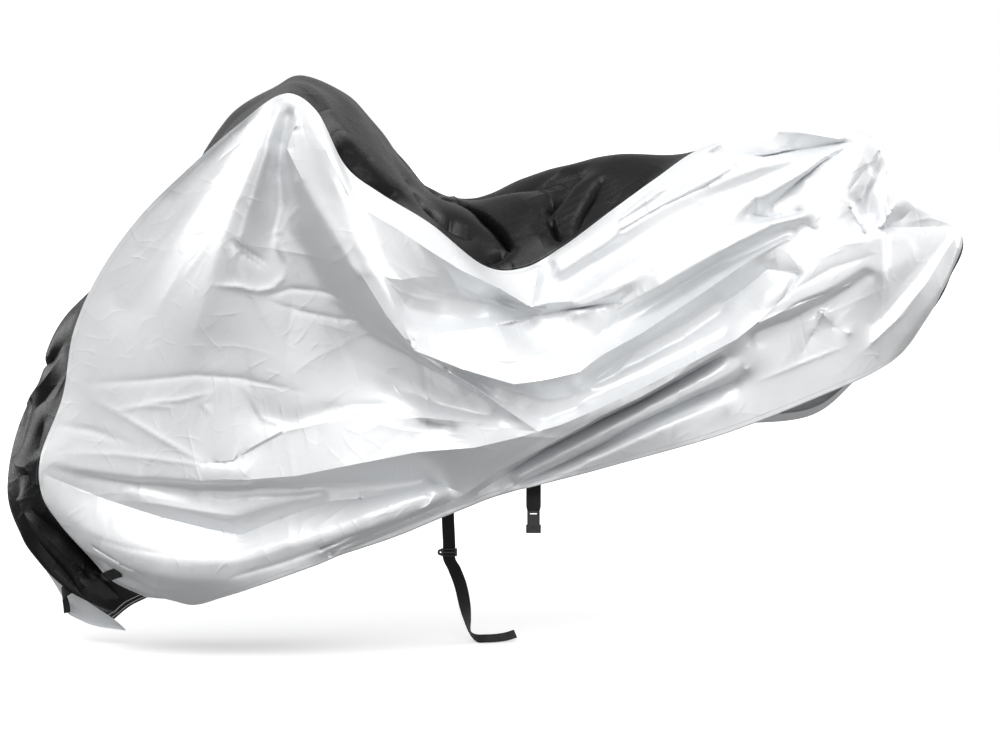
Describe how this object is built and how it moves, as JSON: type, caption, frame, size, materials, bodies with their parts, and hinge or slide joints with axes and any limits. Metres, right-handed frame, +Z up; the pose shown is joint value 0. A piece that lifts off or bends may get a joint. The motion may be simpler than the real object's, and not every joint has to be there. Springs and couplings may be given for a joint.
{
  "type": "bicycle cover",
  "caption": "Fitted weather cover for a bicycle: silver side panels, a black centre strip, and a buckled strap that holds it down in wind",
  "frame": {"origin": "under the top of the cover, where it rests on the middle of the handlebar", "axes": "+X from the handlebar to the rear wheel, +Z up, +Y away from the side that faces the viewer"},
  "size_m": [1.8423, 0.626, 1.1106],
  "materials": {
    "silver_cloth": "silver coated taffeta, satin sheen, crumpled",
    "black_cloth": "black coated taffeta, soft sheen",
    "webbing": "black ribbed webbing, dull",
    "buckle_plastic": "black moulded plastic, satin"
  },
  "bodies": {
    "root": {"near_panel": "silver_cloth", "far_panel": "silver_cloth", "centre_strip": "black_cloth", "near_tab": "webbing", "far_tab": "webbing", "near_strap": "webbing", "far_strap": "webbing", "buckle_body": "buckle_plastic", "strap_slide": "buckle_plastic"}
  },
  "joints": []
}
